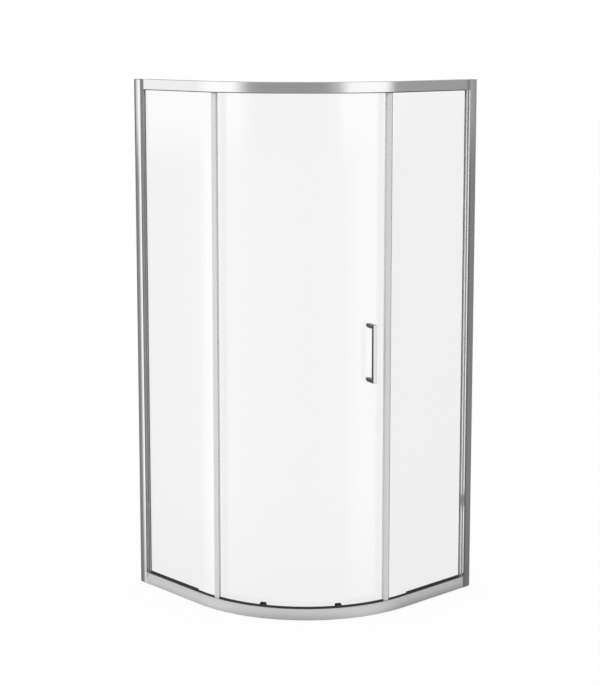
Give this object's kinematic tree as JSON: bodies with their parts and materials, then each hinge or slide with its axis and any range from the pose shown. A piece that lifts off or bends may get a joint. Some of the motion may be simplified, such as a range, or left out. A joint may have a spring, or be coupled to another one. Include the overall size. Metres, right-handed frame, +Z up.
{
  "type": "shower enclosure",
  "caption": "Quadrant corner shower enclosure: bent fixed glass panels and a curved sliding glass door in bright metal rails and wall channels, with a bow handle.",
  "frame": {"origin": "middle of the square plan, on the shower tray", "axes": "+Z up; -X is the left wall and +Y the back wall; the curved door faces +X and -Y"},
  "size_m": [0.884, 0.884, 1.9],
  "materials": {
    "bright_aluminium": "bright polished and anodised",
    "chrome_plate": "polished",
    "clear_glass": "clear toughened",
    "black_rubber": "matt extruded",
    "grey_rubber": "matt extruded",
    "clear_pvc": "translucent extruded",
    "black_nylon": "moulded",
    "white_nylon": "moulded",
    "stainless_steel": "turned",
    "grey_plastic": "moulded"
  },
  "bodies": {
    "frame": {"bottom_gasket_left": "black_rubber", "bottom_gasket_right": "black_rubber", "bottom_rail": "bright_aluminium", "channel_cap_left": "grey_plastic", "channel_cap_right": "grey_plastic", "closed_stop": "black_rubber", "edge_fin_left": "clear_pvc", "edge_strip_left": "bright_aluminium", "edge_strip_right": "bright_aluminium", "fixed_glass_left": "clear_glass", "fixed_glass_right": "clear_glass", "jamb_gasket_left": "grey_rubber", "jamb_gasket_right": "grey_rubber", "jamb_left": "bright_aluminium", "jamb_right": "bright_aluminium", "jamb_screw_caps": "grey_plastic", "jamb_screws": "stainless_steel", "open_stop": "black_rubber", "rail_screws": "stainless_steel", "setting_blocks_left": "grey_plastic", "setting_blocks_right": "grey_plastic", "strike_seal_right": "clear_pvc", "threshold_infill": "black_rubber", "top_gasket_left": "black_rubber", "top_gasket_right": "black_rubber", "top_rail": "bright_aluminium", "wall_channel_left": "bright_aluminium", "wall_channel_right": "bright_aluminium"},
    "door": {"door_closing_seal": "clear_pvc", "door_glass": "clear_glass", "door_tail_fin": "clear_pvc", "door_tail_strip": "bright_aluminium", "guide_block_left": "black_nylon", "guide_block_right": "black_nylon", "guide_pin_left": "stainless_steel", "guide_pin_right": "stainless_steel", "guide_screws": "stainless_steel", "handle": "chrome_plate", "handle_caps": "chrome_plate", "handle_screws": "stainless_steel", "handle_sleeves": "grey_plastic", "handle_washers": "grey_plastic", "roller_bolt_left": "stainless_steel", "roller_bolt_right": "stainless_steel", "roller_bushes": "grey_plastic", "roller_caps": "chrome_plate", "roller_spacers": "stainless_steel"},
    "roller_left": {"roller_wheel_left": "white_nylon", "roller_bearing_left": "stainless_steel"},
    "roller_right": {"roller_wheel_right": "white_nylon", "roller_bearing_right": "stainless_steel"},
    "guide_left": {"guide_wheel_left": "white_nylon"},
    "guide_right": {"guide_wheel_right": "white_nylon"}
  },
  "joints": [
    {"name": "door_slide", "type": "hinge", "parent": "frame", "child": "door", "pos_m": [-0.09759, 0.09759, 0.95], "axis": [0, 0, -1], "range_deg": [0, 37.3]},
    {"name": "roller_spin_left", "type": "hinge", "parent": "door", "child": "roller_left", "pos_m": [0.15246, -0.34437, 1.8773], "axis": [0.4924, -0.8704, 0], "range_deg": [0, 2160]},
    {"name": "guide_spin_left", "type": "hinge", "parent": "door", "child": "guide_left", "pos_m": [0.15285, -0.34506, 0.008], "axis": [0, 0, 1], "continuous": true},
    {"name": "roller_spin_right", "type": "hinge", "parent": "door", "child": "roller_right", "pos_m": [0.34437, -0.15246, 1.8773], "axis": [0.8704, -0.4924, 0], "range_deg": [0, 2160]},
    {"name": "guide_spin_right", "type": "hinge", "parent": "door", "child": "guide_right", "pos_m": [0.34506, -0.15285, 0.008], "axis": [0, 0, 1], "continuous": true}
  ],
  "couplings": [
    {"joint": "roller_spin_left", "follows": "door_slide", "ratio": 56.421},
    {"joint": "roller_spin_right", "follows": "door_slide", "ratio": 56.421}
  ]
}
